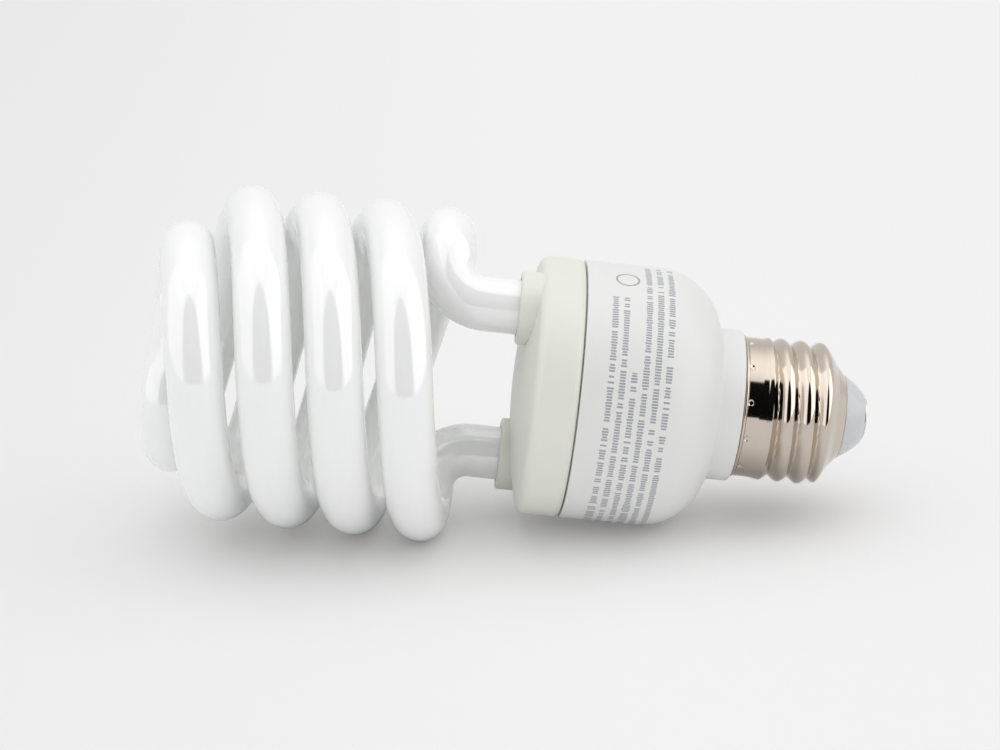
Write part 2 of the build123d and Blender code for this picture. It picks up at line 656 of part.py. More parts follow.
def wrap_pins():
    """Four square posts at the board's edge, two beside each leg of the tube."""
    low = BOARD_UNDERSIDE + BOARD_THICKNESS
    pins = {}
    for index, (turned, side) in enumerate([(0.0, -1), (0.0, 1), (180.0, -1), (180.0, 1)]):
        angle = LEG_ANGLE + turned + side * WRAP_PIN_TURN
        pin = Pos(WRAP_PIN_RADIUS, 0, low + WRAP_PIN_HEIGHT / 2) * Box(WRAP_PIN, WRAP_PIN, WRAP_PIN_HEIGHT)
        pins["wrap_pin_%d" % (index + 1)] = Rot(0, 0, angle) * pin
    return pins


def tube_leads():
    """The lead-in wires, from the sealed end of each leg to its wrap pins."""
    leads = {}
    for index, (turned, side) in enumerate([(0.0, -1), (0.0, 1), (180.0, -1), (180.0, 1)]):
        angle = LEG_ANGLE + turned
        across = polar(1.0, angle + 90.0) * side
        level = LEG_END - LEAD_IN_DROP
        start = leg_place(turned) + across * LEAD_IN_OFFSET
        pin = polar(WRAP_PIN_RADIUS, angle + side * WRAP_PIN_TURN, level)
        low = Vector(start.X, start.Y, level)
        gap = WRAP_PIN / 2 + LEAD_IN_RADIUS
        stop = pin + (low - pin).normalized() * gap
        leads["tube_lead_%d" % (index + 1)] = wire_run(
            [Vector(start.X, start.Y, LEG_END), low, stop], LEAD_IN_RADIUS)
    return leads


def fuse_resistor():
    """The fusible resistor in the lead to the centre contact."""
    return Pos(CONTACT_WIRE_X, 0, 0) * post(0, 0, FUSE_TOP - FUSE_LENGTH, FUSE_TOP, FUSE_RADIUS)


def contact_wire():
    """The lead from the board through the fuse resistor to the centre contact's rivet."""
    upper = post(CONTACT_WIRE_X, 0, FUSE_TOP, BOARD_UNDERSIDE, MAINS_WIRE_RADIUS)
    rivet_end = CONTACT_HEIGHT + RIVET_LENGTH
    lower = wire_run([
        Vector(CONTACT_WIRE_X, 0, FUSE_TOP - FUSE_LENGTH), Vector(CONTACT_WIRE_X, 0, CONTACT_WIRE_TURN),
        Vector(0, 0, CONTACT_WIRE_LOW), Vector(0, 0, rivet_end)], MAINS_WIRE_RADIUS, MAINS_WIRE_BEND)
    return [upper, lower]


def shell_wire():
    """The lead from the board down inside the spigot and out to the inner wall of the screw shell."""
    place = spigot_radius() - SPIGOT_WALL - 2 * MAINS_WIRE_RADIUS
    wall = THREAD_ROOT - SHELL_WALL - INSULATOR_CLEARANCE
    level = SPIGOT_START - 4 * MAINS_WIRE_RADIUS
    return wire_run([Vector(0, place, BOARD_UNDERSIDE), Vector(0, place, level), Vector(0, wall, level)],
                    MAINS_WIRE_RADIUS)


def lamp_pieces():
    """Every piece by its name, in the lamp's own frame."""
    pieces = {
        "spiral_tube": glass_tube(),
        "tube_cement": tube_cement(),
        "tube_holder": holder_cover(),
        "ballast_housing": ballast_housing(),
        "screw_shell": screw_shell(),
        "end_insulator": end_insulator(),
        "centre_contact": centre_contact(),
        "circuit_board": circuit_board(),
        "choke_core_top": choke_core(1),
        "choke_core_bottom": choke_core(-1),
        "choke_bobbin": choke_bobbin(),
        "choke_winding": choke_winding(),
        "storage_capacitor": storage_capacitor(),
        "drive_toroid": toroid_core(),
        "drive_windings": toroid_windings(),
        "filter_core": filter_core(),
        "filter_winding": filter_winding(),
        "preheat_thermistor": thermistor(),
        "fuse_resistor": fuse_resistor(),
        "contact_wire": contact_wire(),
        "shell_wire": shell_wire(),
    }
    for name, place in TRANSISTOR_PLACES.items():
        pieces[name] = transistor(*place)
    for name, place in FILM_CAPACITORS.items():
        pieces[name] = film_capacitor(*place)
    for name, place in AXIAL_PARTS.items():
        pieces[name] = axial_part(*place)
    pieces.update(wrap_pins())
    pieces.update(tube_leads())
    return pieces


# The resting place

def housing_height(tilt):
    """Height of the housing's lowest point under the lamp's axis at the contact, for a tilt in radians."""
    centre = HOUSING_RADIUS - SHOULDER_RADIUS
    return SHOULDER_TOP * math.sin(tilt) - centre * math.cos(tilt) - SHOULDER_RADIUS


def spiral_height(tilt):
    """The same for the spiral's lowest point."""
    corners = strand_corners(180.0, ())
    path = FilletPolyline(*corners, radius=[LEG_BEND_RADIUS] + [arc_radius(*t) for t in zip(
        corners[1:], corners[2:], corners[3:])])
    points = [path @ (step / 400) for step in range(401)]
    return min(p.Z * math.sin(tilt) + p.X * math.cos(tilt) for p in points) - TUBE_RADIUS


def resting_tilt():
    """The tilt at which the spiral and the housing touch the ground together, by halving."""
    low, high = 0.0, math.radians(30.0)
    for _ in range(30):
        tilt = (low + high) / 2
        if spiral_height(tilt) < housing_height(tilt):
            low = tilt
        else:
            high = tilt
    return low


def laid_down(pieces):
    """Lays the lamp on its side, its cap towards +X, and centres its box over the origin."""
    tilt = resting_tilt()
    rest = Rot(0, math.degrees(tilt) - 90.0, 0)
    print("resting tilt", round(math.degrees(tilt), 2), "degrees")
    laid = {name: [rest * solid for solid in solids_of(piece)] for name, piece in pieces.items()}
    box = Compound([solid for solids in laid.values() for solid in solids]).bounding_box()
    lift = Pos(-box.center().X, -box.center().Y, -housing_height(tilt))
    return {name: [lift * solid for solid in solids] for name, solids in laid.items()}


def solids_of(piece):
    """The solids of a piece, which may be one shape or a list of them."""
    shapes = piece if isinstance(piece, list) else [piece]
    return [solid for shape in shapes for solid in shape.solids()]


def main():
    os.makedirs("parts", exist_ok=True)
    laid = laid_down(lamp_pieces())
    for name, solids in laid.items():
        shape = solids[0] if len(solids) == 1 else Compound(solids)
        export_step(shape, "parts/%s.step" % name)
    print(len(laid), "pieces written")


main()
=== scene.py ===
# %% [markdown]
# # A spiral bulb lying on a white table
#
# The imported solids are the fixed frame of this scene. Pieces whose surface carries the look, such as
# the glass coil and the rolled screw shell, are modelled again here with finer faces and soft edges,
# and the solids that are right as they are get a procedural material.
# Everything is drawn in the lamp's own frame, in millimetres along and round its axis, and one matrix
# lays it down at the end. That keeps each size readable: it is the size of the real piece.

# %% Load the frame
import json
import math

import bmesh
import bpy
from mathutils import Matrix, Vector


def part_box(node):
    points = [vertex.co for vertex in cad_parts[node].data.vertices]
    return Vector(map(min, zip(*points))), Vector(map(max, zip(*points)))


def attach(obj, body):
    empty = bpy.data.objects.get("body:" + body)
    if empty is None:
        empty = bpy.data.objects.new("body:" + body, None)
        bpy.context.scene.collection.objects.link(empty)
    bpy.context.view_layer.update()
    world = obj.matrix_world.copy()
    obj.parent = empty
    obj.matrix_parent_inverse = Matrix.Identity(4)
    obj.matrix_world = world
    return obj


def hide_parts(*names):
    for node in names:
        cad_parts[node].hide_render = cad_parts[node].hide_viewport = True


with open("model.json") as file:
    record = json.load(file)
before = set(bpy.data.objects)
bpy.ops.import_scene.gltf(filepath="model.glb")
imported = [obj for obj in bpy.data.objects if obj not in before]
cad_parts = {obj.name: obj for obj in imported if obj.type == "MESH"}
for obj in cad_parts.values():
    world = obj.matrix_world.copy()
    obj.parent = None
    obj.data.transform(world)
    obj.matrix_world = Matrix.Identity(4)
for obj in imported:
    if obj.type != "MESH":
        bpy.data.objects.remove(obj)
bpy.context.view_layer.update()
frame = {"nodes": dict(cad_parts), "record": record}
nodes_cad = frame["nodes"]

# %% [markdown]
# ## The lamp's own frame
#
# On the real object everything is round its axis, so the axis is the natural line to draw along. Here
# Z runs from the cap's centre contact to the tip of the coil and X points up once the lamp lies down.
# The resting tilt is the angle at which the coil and the case touch the table together.

# %% The lying-down matrix
MILLIMETRE = 0.001
RESTING_TILT = math.radians(8.276)
CONTACT_PLACE = Vector((0.065331, 0.0, 0.0176225))
LAY_TURN = RESTING_TILT - math.radians(90.0)
LAY_DOWN = Matrix.Translation(CONTACT_PLACE) @ Matrix.Rotation(LAY_TURN, 4, "Y") @ Matrix.Scale(MILLIMETRE, 4)
FULL_TURN = 2.0 * math.pi

contact_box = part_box("centre_contact")
contact_middle = LAY_DOWN @ Vector((0.0, 0.0, 0.0))
print("contact's box ends at x", round(1000 * contact_box[1].x, 2), "mm; the middle of its face is ours at",
      round(1000 * contact_middle.x, 2), "mm")


def around(radius, degrees, height=0.0):
    """A point given by its distance from the axis, its angle round it and its height."""
    turn = math.radians(degrees)
    return Vector((radius * math.cos(turn), radius * math.sin(turn), height))


# %% [markdown]
# ## From a bmesh to a finished piece
#
# Each piece is shaped in a bmesh, laid down with the matrix above and stored with its object at the
# origin. Spin and mirror can turn a shape inside out, so the normals are worked out again after the
# doubles are merged. Edges sharper than a limit stay crisp, and all others are shaded smooth.

# %% Helpers for pieces
SHARP_ANGLE = math.radians(32.0)
MERGE_DISTANCE = 0.0005


def finish_piece(bm, name, material, slot, *replaced):
    """Lays a bmesh down, makes it an object that rides with the lamp, and prints its size."""
    bmesh.ops.remove_doubles(bm, verts=bm.verts, dist=MERGE_DISTANCE)
    bmesh.ops.recalc_face_normals(bm, faces=bm.faces)
    bmesh.ops.transform(bm, matrix=LAY_DOWN, verts=bm.verts)
    for face in bm.faces:
        face.smooth = True
    for edge in bm.edges:
        edge.smooth = not edge.is_manifold or edge.calc_face_angle(0.0) < SHARP_ANGLE
    open_edges = sum(1 for edge in bm.edges if not edge.is_manifold)
    mesh = bpy.data.meshes.new(name)
    bm.to_mesh(mesh)
    bm.free()
    piece = bpy.data.objects.new(name, mesh)
    bpy.context.scene.collection.objects.link(piece)
    mesh.materials.append(material)
    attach(piece, "root")
    if replaced:
        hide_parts(*replaced)
    triangles = sum(len(polygon.vertices) - 2 for polygon in mesh.polygons)
    print(name, "has", triangles, "triangles and", open_edges, "open edges")
    return piece


class Outline:
    """Half of a turned section: vertices and edges in the plane of radius and height, walked like a pen."""

    def __init__(self, bm, radius, height):
        self.bm = bm
        self.first = self.last = bm.verts.new((radius, 0.0, height))

    def to(self, radius, height):
        """A straight edge to the next corner."""
        corner = self.bm.verts.new((radius, 0.0, height))
        self.bm.edges.new((self.last, corner))
        self.last = corner
        return self

    def arc(self, centre, degrees, steps):
        """An arc round a centre; positive degrees turn from the radius towards the height."""
        made = bmesh.ops.spin(self.bm, geom=[self.last], cent=(centre[0], 0.0, centre[1]), axis=(0, -1, 0),
                              angle=math.radians(degrees), steps=steps, use_merge=False)
        self.last = [part for part in made["geom_last"] if isinstance(part, bmesh.types.BMVert)][0]
        return self

    def close(self):
        self.bm.edges.new((self.last, self.first))
        return self


def turn_round(bm, steps):
    """A full spin of everything drawn so far, closed where it meets itself."""
    bmesh.ops.spin(bm, geom=bm.verts[:] + bm.edges[:], cent=(0, 0, 0), axis=(0, 0, 1), angle=FULL_TURN,
                   steps=steps, use_merge=True)
    bmesh.ops.remove_doubles(bm, verts=bm.verts, dist=MERGE_DISTANCE)


def ring_edges(bm, radius, height, slack=0.01):
    """The edges of a turned shape that run round the axis at one corner of its section."""
    def on_ring(vert):
        return abs(math.hypot(vert.co.x, vert.co.y) - radius) < slack and abs(vert.co.z - height) < slack
    return [edge for edge in bm.edges if on_ring(edge.verts[0]) and on_ring(edge.verts[1])]


def soften(bm, edges, width, segments=3):
    """Rounds edges as a mould or a press leaves them."""
    if edges:
        bmesh.ops.bevel(bm, geom=edges, offset=width, segments=segments, profile=0.5, affect="EDGES",
                        material=-1)


# %% [markdown]
# ## A base for all finishes
#
# Moulded, sintered and drawn surfaces all have a fine, uneven grain. One helper gives each finish its
# own: noise on Object coordinates varies the colour and the roughness a little and lifts a faint bump.
# Object coordinates sit still on the piece, so the grain doesn't slide in other views.

# %% Helpers for materials
def feed(tree, socket, value):
    """Gives an input a number, a colour or the output of another node."""
    if isinstance(value, (int, float)):
        socket.default_value = value
    elif isinstance(value, tuple):
        socket.default_value = (*value, 1.0)
    else:
        tree.links.new(value, socket)


def math_node(tree, operation, first, second=0.0):
    """A Math node on outputs or plain numbers. Compare counts as equal what is less than a half apart."""
    node = tree.nodes.new("ShaderNodeMath")
    node.operation = operation
    node.inputs[2].default_value = 0.5
    feed(tree, node.inputs[0], first)
    feed(tree, node.inputs[1], second)
    return node.outputs[0]


def colour_mix(tree, factor, first, second):
    """A Mix node between two colours, each a tuple or an output."""
    node = tree.nodes.new("ShaderNodeMix")
    node.data_type = "RGBA"
    feed(tree, node.inputs["Factor"], factor)
    feed(tree, node.inputs["A"], first)
    feed(tree, node.inputs["B"], second)
    return node.outputs["Result"]


def grained(name, colour, second, size, roughness, bump=0.02, metallic=0.0, ior=1.5, detail=3.0):
    """A Principled material whose colour and roughness drift with a noise of the given size in mm."""
    material = bpy.data.materials.new(name)
    material.use_nodes = True
    tree = material.node_tree
    shader = tree.nodes["Principled BSDF"]
    place = tree.nodes.new("ShaderNodeTexCoord")
    noise = tree.nodes.new("ShaderNodeTexNoise")
    noise.inputs["Scale"].default_value = 1000.0 / size
    noise.inputs["Detail"].default_value = detail
    tree.links.new(place.outputs["Object"], noise.inputs["Vector"])
    tree.links.new(colour_mix(tree, noise.outputs["Fac"], colour, second), shader.inputs["Base Color"])
    sheen = tree.nodes.new("ShaderNodeMapRange")
    sheen.inputs["To Min"].default_value = roughness[0]
    sheen.inputs["To Max"].default_value = roughness[1]
    tree.links.new(noise.outputs["Fac"], sheen.inputs["Value"])
    tree.links.new(sheen.outputs["Result"], shader.inputs["Roughness"])
    relief = tree.nodes.new("ShaderNodeBump")
    relief.inputs["Strength"].default_value = bump
    relief.inputs["Distance"].default_value = 0.2 * MILLIMETRE
    tree.links.new(noise.outputs["Fac"], relief.inputs["Height"])
    tree.links.new(relief.outputs["Normal"], shader.inputs["Normal"])
    shader.inputs["Metallic"].default_value = metallic
    shader.inputs["IOR"].default_value = ior
    return material


# %% [markdown]
# ## The glass coil
#
# The real coil is one glass tube, softened and wound double round a former, with its ends led down as
# two legs. Its inside is coated white, so it reads as white porcelain under a layer of clear gloss.
# It could be a curve with a round bevel, but a ring of edges that is spun round each bend and pushed
# along each straight gives even faces and exactly the bends of the solid. The route's corners lie on
# the coil; each corner is rounded by the largest arc that leaves its neighbours room.

# %% The coil's route
TUBE_RADIUS = 4.9
TUBE_SIDES = 56
COIL_RADIUS = 25.6
COIL_PITCH = 24.2
COIL_START = 77.3
CORNER_STEP = 30.0
FIRST_CORNER = 10.0
LAST_CORNER = 700.0
SHRINK_ANGLE = 480.0
CLOSE_ANGLE = 840.0
SHRINK_POWER = 3.4
CROSSING = [(18.5, 733.0, 0.8), (11.0, 775.0, 1.3)]
LEG_RADIUS = 16.2
LEG_ANGLE = -17.0
LEG_END = 52.0
LEG_BEND_DROP = 0.3
LEG_BEND_RADIUS = 7.4
ARC_SHARE = 0.45
STEP_DEGREES = 2.5
FEWEST_STEPS = 6
SAG_AT_CORNERS = (-0.6, 0.7, 1.9, 1.1)


def strand_route(turned, sags):
    """Corners of one strand, from its leg to the crossing at the tip."""
    corners = []
    reach = 1.0 / math.cos(math.radians(CORNER_STEP / 2.0))
    for step in range(round((LAST_CORNER - FIRST_CORNER) / CORNER_STEP) + 1):
        angle = FIRST_CORNER + CORNER_STEP * step
        share = max(0.0, (angle - SHRINK_ANGLE) / (CLOSE_ANGLE - SHRINK_ANGLE))
        radius = COIL_RADIUS * (1.0 - share ** SHRINK_POWER)
        sag = sags[step] if step < len(sags) else 0.0
        corners.append(around(radius * reach, angle + turned, COIL_START + COIL_PITCH * angle / 360.0 - sag))
    top = corners[-1].z
    corners += [around(radius, angle + turned, top + rise) for radius, angle, rise in CROSSING]
    heights = (LEG_END, corners[0].z - LEG_BEND_DROP)
    return [around(LEG_RADIUS, LEG_ANGLE + turned, height) for height in heights] + corners


tube_route = strand_route(0.0, SAG_AT_CORNERS) + list(reversed(strand_route(180.0, ())))
print("the coil's route has", len(tube_route), "corners")


# %% [markdown]
# ### Spinning and pushing the ring
#
# Where the route bends, the ring is spun round the centre of the arc. Where it is straight, the ring
# is extruded and moved on. Spin keeps the tube's roundness in every bend, which a free sweep would not.

# %% Spin a ring of edges along the route
def arc_at(before, corner, after, radius=None):
    """Centre, axis, angle and start of the arc that rounds a corner."""
    inward, onward = (corner - before), (after - corner)
    angle = inward.angle(onward)
    if radius is None:
        radius = ARC_SHARE * min(inward.length, onward.length) / math.tan(angle / 2.0)
    axis = inward.cross(onward).normalized()
    start = corner - inward.normalized() * radius * math.tan(angle / 2.0)
    return start + axis.cross(inward.normalized()) * radius, axis, angle, start


def ring_only(parts):
    return [part for part in parts if isinstance(part, (bmesh.types.BMVert, bmesh.types.BMEdge))]


def push_on(bm, ring, way):
    """Extrudes a ring of edges along a straight and returns the new ring."""
    edges = [part for part in ring if isinstance(part, bmesh.types.BMEdge)]
    ring = ring_only(bmesh.ops.extrude_edge_only(bm, edges=edges)["geom"])
    bmesh.ops.translate(bm, vec=way, verts=[part for part in ring if isinstance(part, bmesh.types.BMVert)])
    return ring


def build_coil():
    bm = bmesh.new()
    made = bmesh.ops.create_circle(bm, radius=TUBE_RADIUS, segments=TUBE_SIDES,
                                   matrix=Matrix.Translation(tube_route[0]))
    ring = made["verts"] + bm.edges[:]
    place = tube_route[0]
    last = len(tube_route) - 2
    for index, corners in enumerate(zip(tube_route, tube_route[1:], tube_route[2:])):
        fixed = LEG_BEND_RADIUS if index in (0, last - 1) else None
        centre, axis, angle, start = arc_at(*corners, fixed)
        ring = push_on(bm, ring, start - place)
        steps = max(FEWEST_STEPS, round(math.degrees(angle) / STEP_DEGREES))
        spun = bmesh.ops.spin(bm, geom=ring, cent=centre, axis=axis, angle=angle, steps=steps,
                              use_merge=False)
        ring = ring_only(spun["geom_last"])
        place = centre + Matrix.Rotation(angle, 3, axis) @ (start - centre)
    push_on(bm, ring, tube_route[-1] - place)
    bmesh.ops.remove_doubles(bm, verts=bm.verts, dist=MERGE_DISTANCE)
    bmesh.ops.holes_fill(bm, edges=bm.edges, sides=TUBE_SIDES)
    return bm


coated_glass = grained("coated_glass", (0.962, 0.97, 0.965), (0.972, 0.978, 0.973), 9.0, (0.02, 0.05),
                       bump=0.0, ior=2.0)
finish_piece(build_coil(), "glass_coil", coated_glass, "phosphor_glass", "spiral_tube")

# %% [markdown]
# ## The case
#
# The case is two moulded halves. The lower one is a cup with a full shoulder and a neck ring, and the
# upper one is a low dome with a collar for each leg. Both are turned shapes, so their sections are
# drawn once and spun. The little rounds on the rims come from a bevel of the ring edges: a mould leaves
# them, and they catch the thin light lines beside the seam.

# %% The lower half
CASE_STEPS = 160
CASE_RADIUS = 23.5
CASE_WALL = 1.6
CASE_RIM = 53.7
WALL_MIDDLE = 47.0
SHOULDER = (11.5, 40.0)
SHOULDER_RADIUS = 12.0
NECK_RADIUS = 13.8
NECK_START = 23.9
SPIGOT_RADIUS = 12.3
SPIGOT_BORE = 10.8
SPIGOT_START = 19.3
RIM_SOFT = 0.2
NECK_SOFT = 0.35
FOOT_SOFT = 0.3


def build_lower_half():
    bm = bmesh.new()
    neck_turn = math.degrees(math.acos((NECK_RADIUS - SHOULDER[0]) / SHOULDER_RADIUS))
    inside = CASE_RADIUS - CASE_WALL
    pen = Outline(bm, inside, CASE_RIM).to(CASE_RADIUS, CASE_RIM)
    pen.to(CASE_RADIUS, WALL_MIDDLE).to(CASE_RADIUS, SHOULDER[1]).arc(SHOULDER, -neck_turn, 26)
    pen.to(NECK_RADIUS, NECK_START).to(SPIGOT_RADIUS, NECK_START).to(SPIGOT_RADIUS, SPIGOT_START)
    pen.to(SPIGOT_BORE, SPIGOT_START).to(SPIGOT_BORE, SHOULDER[1] - SHOULDER_RADIUS + CASE_WALL)
    pen.to(SHOULDER[0], SHOULDER[1] - SHOULDER_RADIUS + CASE_WALL).arc(SHOULDER, 90.0, 16).close()
    turn_round(bm, CASE_STEPS)
    foot = SHOULDER[1] - SHOULDER_RADIUS * math.sin(math.radians(neck_turn))
    soften(bm, ring_edges(bm, CASE_RADIUS, CASE_RIM), RIM_SOFT)
    soften(bm, ring_edges(bm, NECK_RADIUS, NECK_START), NECK_SOFT)
    soften(bm, ring_edges(bm, NECK_RADIUS, foot), FOOT_SOFT)
    return bm


case_lower = grained("case_white", (0.81, 0.812, 0.80), (0.825, 0.827, 0.817), 6.0, (0.34, 0.42), 0.03)
finish_piece(build_lower_half(), "case_lower_half", case_lower, "case_plastic", "ballast_housing")

# %% [markdown]
# ## The print on the lower half
#
# The real case is pad-printed in pale grey: rows of small letters that run round it, and a round sign.
# This copy carries no words, so each row is a run of plain little bars, and the sign is a bare ring.
# An image would fix the size of its dots. Here the bars are counted out from the angle round the axis
# and the height along it, so they stay sharp at any distance.

# %% Bars and a ring
ROW_TOP = 49.8
ROW_PITCH = 2.0
ROW_STARTS = (-26.0, -26.0, -63.0, 4.0, 4.0, 4.0)
ROW_END = -163.0
ROW_HALF = 0.28
BAR_STEP = 1.25
BAR_HALF = 0.33
BAR_GAPS = 0.13
BAR_SHORTER = 0.09
BAR_VARIES = 0.11
BOLD_TALLER = 0.1
BOLD_ROWS = (0, 3)
BOLD_START = -128.0
RING_PLACE = (-13.0, 46.6)
RING_RADIUS = 2.0
RING_LINE = 0.18
PRINT_DEPTH = 1.2
PRINT_GREY = (0.38, 0.38, 0.41)


def add_print(material):
    """Mixes the rows of bars and the ring over the colour of a material."""
    tree = material.node_tree
    shader = tree.nodes["Principled BSDF"]

    def sum_up(operation, first, second=0.0):
        return math_node(tree, operation, first, second)

    def squares_of(first, second):
        return sum_up("ADD", sum_up("MULTIPLY", first, first), sum_up("MULTIPLY", second, second))

    def noise_of(cell, row):
        node = tree.nodes.new("ShaderNodeTexWhiteNoise")
        node.noise_dimensions = "2D"
        pair = tree.nodes.new("ShaderNodeCombineXYZ")
        feed(tree, pair.inputs["X"], cell)
        feed(tree, pair.inputs["Y"], row)
        tree.links.new(pair.outputs[0], node.inputs["Vector"])
        return node.outputs["Value"]

    lamp = tree.nodes.new("ShaderNodeMapping")
    lamp.vector_type = "TEXTURE"
    lamp.inputs["Location"].default_value = CONTACT_PLACE
    lamp.inputs["Rotation"].default_value = (0.0, LAY_TURN, 0.0)
    lamp.inputs["Scale"].default_value = (MILLIMETRE, MILLIMETRE, MILLIMETRE)
    tree.links.new(tree.nodes["Texture Coordinate"].outputs["Object"], lamp.inputs["Vector"])
    axes = tree.nodes.new("ShaderNodeSeparateXYZ")
    tree.links.new(lamp.outputs[0], axes.inputs[0])
    upward, sideways, along = axes.outputs
    turn = sum_up("MULTIPLY", sum_up("ARCTAN2", sideways, upward), 180.0 / math.pi)

    rows = sum_up("DIVIDE", sum_up("SUBTRACT", ROW_TOP, along), ROW_PITCH)
    row = sum_up("FLOOR", rows)
    off_row = sum_up("ABSOLUTE", sum_up("SUBTRACT", sum_up("FRACT", rows), 0.5))
    cells = sum_up("DIVIDE", turn, -BAR_STEP)
    cell = sum_up("FLOOR", cells)
    chance = noise_of(cell, row)
    off_cell = sum_up("ABSOLUTE", sum_up("SUBTRACT", sum_up("FRACT", cells), 0.5))
    bar = sum_up("LESS_THAN", off_cell, BAR_HALF)
    bar = sum_up("MULTIPLY", bar, sum_up("GREATER_THAN", chance, BAR_GAPS))
    tall = sum_up("ADD", ROW_HALF - BAR_SHORTER, sum_up("MULTIPLY", chance, BAR_VARIES))
    printed = 0.0
    for number, start in enumerate(ROW_STARTS):
        here = sum_up("COMPARE", row, float(number))
        begun = sum_up("MULTIPLY", here, sum_up("LESS_THAN", turn, start))
        printed = sum_up("ADD", printed, begun)
        if number in BOLD_ROWS:
            bold = sum_up("MULTIPLY", here, sum_up("LESS_THAN", turn, BOLD_START))
            tall = sum_up("ADD", tall, sum_up("MULTIPLY", bold, BOLD_TALLER))
    bar = sum_up("MULTIPLY", bar, sum_up("LESS_THAN", off_row, tall))
    bar = sum_up("MULTIPLY", bar, sum_up("MULTIPLY", printed, sum_up("GREATER_THAN", turn, ROW_END)))

    across = sum_up("MULTIPLY", sum_up("SUBTRACT", turn, RING_PLACE[0]), CASE_RADIUS * math.pi / 180.0)
    beside = sum_up("SUBTRACT", along, RING_PLACE[1])
    reach = sum_up("SQRT", squares_of(across, beside))
    ring = sum_up("LESS_THAN", sum_up("ABSOLUTE", sum_up("SUBTRACT", reach, RING_RADIUS)), RING_LINE)
    on_outside = sum_up("GREATER_THAN", squares_of(upward, sideways), (CASE_RADIUS - PRINT_DEPTH) ** 2)
    inked = sum_up("MULTIPLY", sum_up("MAXIMUM", bar, ring), on_outside)

    under = shader.inputs["Base Color"].links[0].from_socket
    tree.links.new(colour_mix(tree, inked, under, PRINT_GREY), shader.inputs["Base Color"])
    return len(tree.nodes)


print("print of", add_print(case_lower), "nodes")

# %% [markdown]
# ### The upper half
#
# On the real case this is the cover that snaps into the cup and holds the tube. Its dome and rim are
# turned like the cup. The collars stand beside the axis, so a spin can't make them: round posts are
# joined on and the leg holes are cut out with an exact boolean, which keeps their edges crisp.

# %% The upper half
COVER_SEAM = 54.0
BEVEL_WIDTH = 0.9
BEVEL_DEPTH = 0.45
COVER_EDGE = 61.9
COVER_ROUND = 2.0
COVER_CROWN = 2.5
COLLAR_RADIUS = 6.6
COLLAR_END = 65.3
COLLAR_DEPTH = 8.5
COLLAR_SOFT = 0.45
SKIRT_LOW = 49.0
SKIRT_WALL = 1.4
SKIRT_GAP = 0.1
SKIRT_TOP = 57.2
SKIRT_CHAMFER = 55.6
INNER_DROP = 4.0
BEVEL_SOFT = 0.15
SEAM_SOFT = 0.1
LEG_HOLE = 5.4


def build_cover_shell():
    bm = bmesh.new()
    inside = CASE_RADIUS - CASE_WALL
    flat = CASE_RADIUS - COVER_ROUND
    crown = COVER_EDGE + COVER_CROWN
    dome = (flat ** 2 + COVER_CROWN ** 2) / (2.0 * COVER_CROWN)
    sweep = math.degrees(math.asin(flat / dome))
    skirt = inside - SKIRT_GAP
    pen = Outline(bm, inside - SKIRT_WALL, SKIRT_LOW).to(skirt, SKIRT_LOW).to(skirt, COVER_SEAM)
    pen.to(CASE_RADIUS - BEVEL_DEPTH, COVER_SEAM).to(CASE_RADIUS, COVER_SEAM + BEVEL_WIDTH)
    pen.to(CASE_RADIUS, COVER_EDGE - COVER_ROUND).arc((flat, COVER_EDGE - COVER_ROUND), 90.0, 10)
    pen.arc((0.0, crown - dome), sweep, 24)
    pen.to(0.0, crown - CASE_WALL).arc((0.0, crown - CASE_WALL - dome), -sweep, 16)
    pen.to(skirt, COVER_EDGE - INNER_DROP).to(skirt, SKIRT_TOP).to(inside - SKIRT_WALL, SKIRT_CHAMFER).close()
    turn_round(bm, CASE_STEPS)
    soften(bm, ring_edges(bm, CASE_RADIUS, COVER_SEAM + BEVEL_WIDTH), BEVEL_SOFT)
    soften(bm, ring_edges(bm, CASE_RADIUS - BEVEL_DEPTH, COVER_SEAM), SEAM_SOFT)
    return bm


def build_posts(radius, low, high, soft):
    """A round post at each leg, with its outer rim softened."""
    bm = bmesh.new()
    for turned in (0.0, 180.0):
        place = around(LEG_RADIUS, LEG_ANGLE + turned, (low + high) / 2.0)
        made = bmesh.ops.create_cone(bm, cap_ends=True, segments=96, radius1=radius, radius2=radius,
                                     depth=high - low, matrix=Matrix.Translation(place))
        rim = [e for v in made["verts"] if v.co.z > high - 0.01 for e in v.link_edges
               if e.other_vert(v).co.z > high - 0.01]
        if soft:
            soften(bm, list(set(rim)), soft)
    return bm


def cut(piece_mesh, tool_mesh, operation):
    """Joins or cuts two closed bmeshes with an exact boolean and returns the result as a bmesh."""
    holders = []
    for label, source in (("body", piece_mesh), ("tool", tool_mesh)):
        mesh = bpy.data.meshes.new("boolean_" + label)
        bmesh.ops.recalc_face_normals(source, faces=source.faces)
        source.to_mesh(mesh)
        source.free()
        holders.append(bpy.data.objects.new("boolean_" + label, mesh))
        bpy.context.scene.collection.objects.link(holders[-1])
    modifier = holders[0].modifiers.new("cut", "BOOLEAN")
    modifier.operation = operation
    modifier.solver = "EXACT"
    modifier.object = holders[1]
    evaluated = holders[0].evaluated_get(bpy.context.evaluated_depsgraph_get())
    result = bmesh.new()
    result.from_mesh(bpy.data.meshes.new_from_object(evaluated))
    for holder in holders:
        bpy.data.objects.remove(holder)
    return result


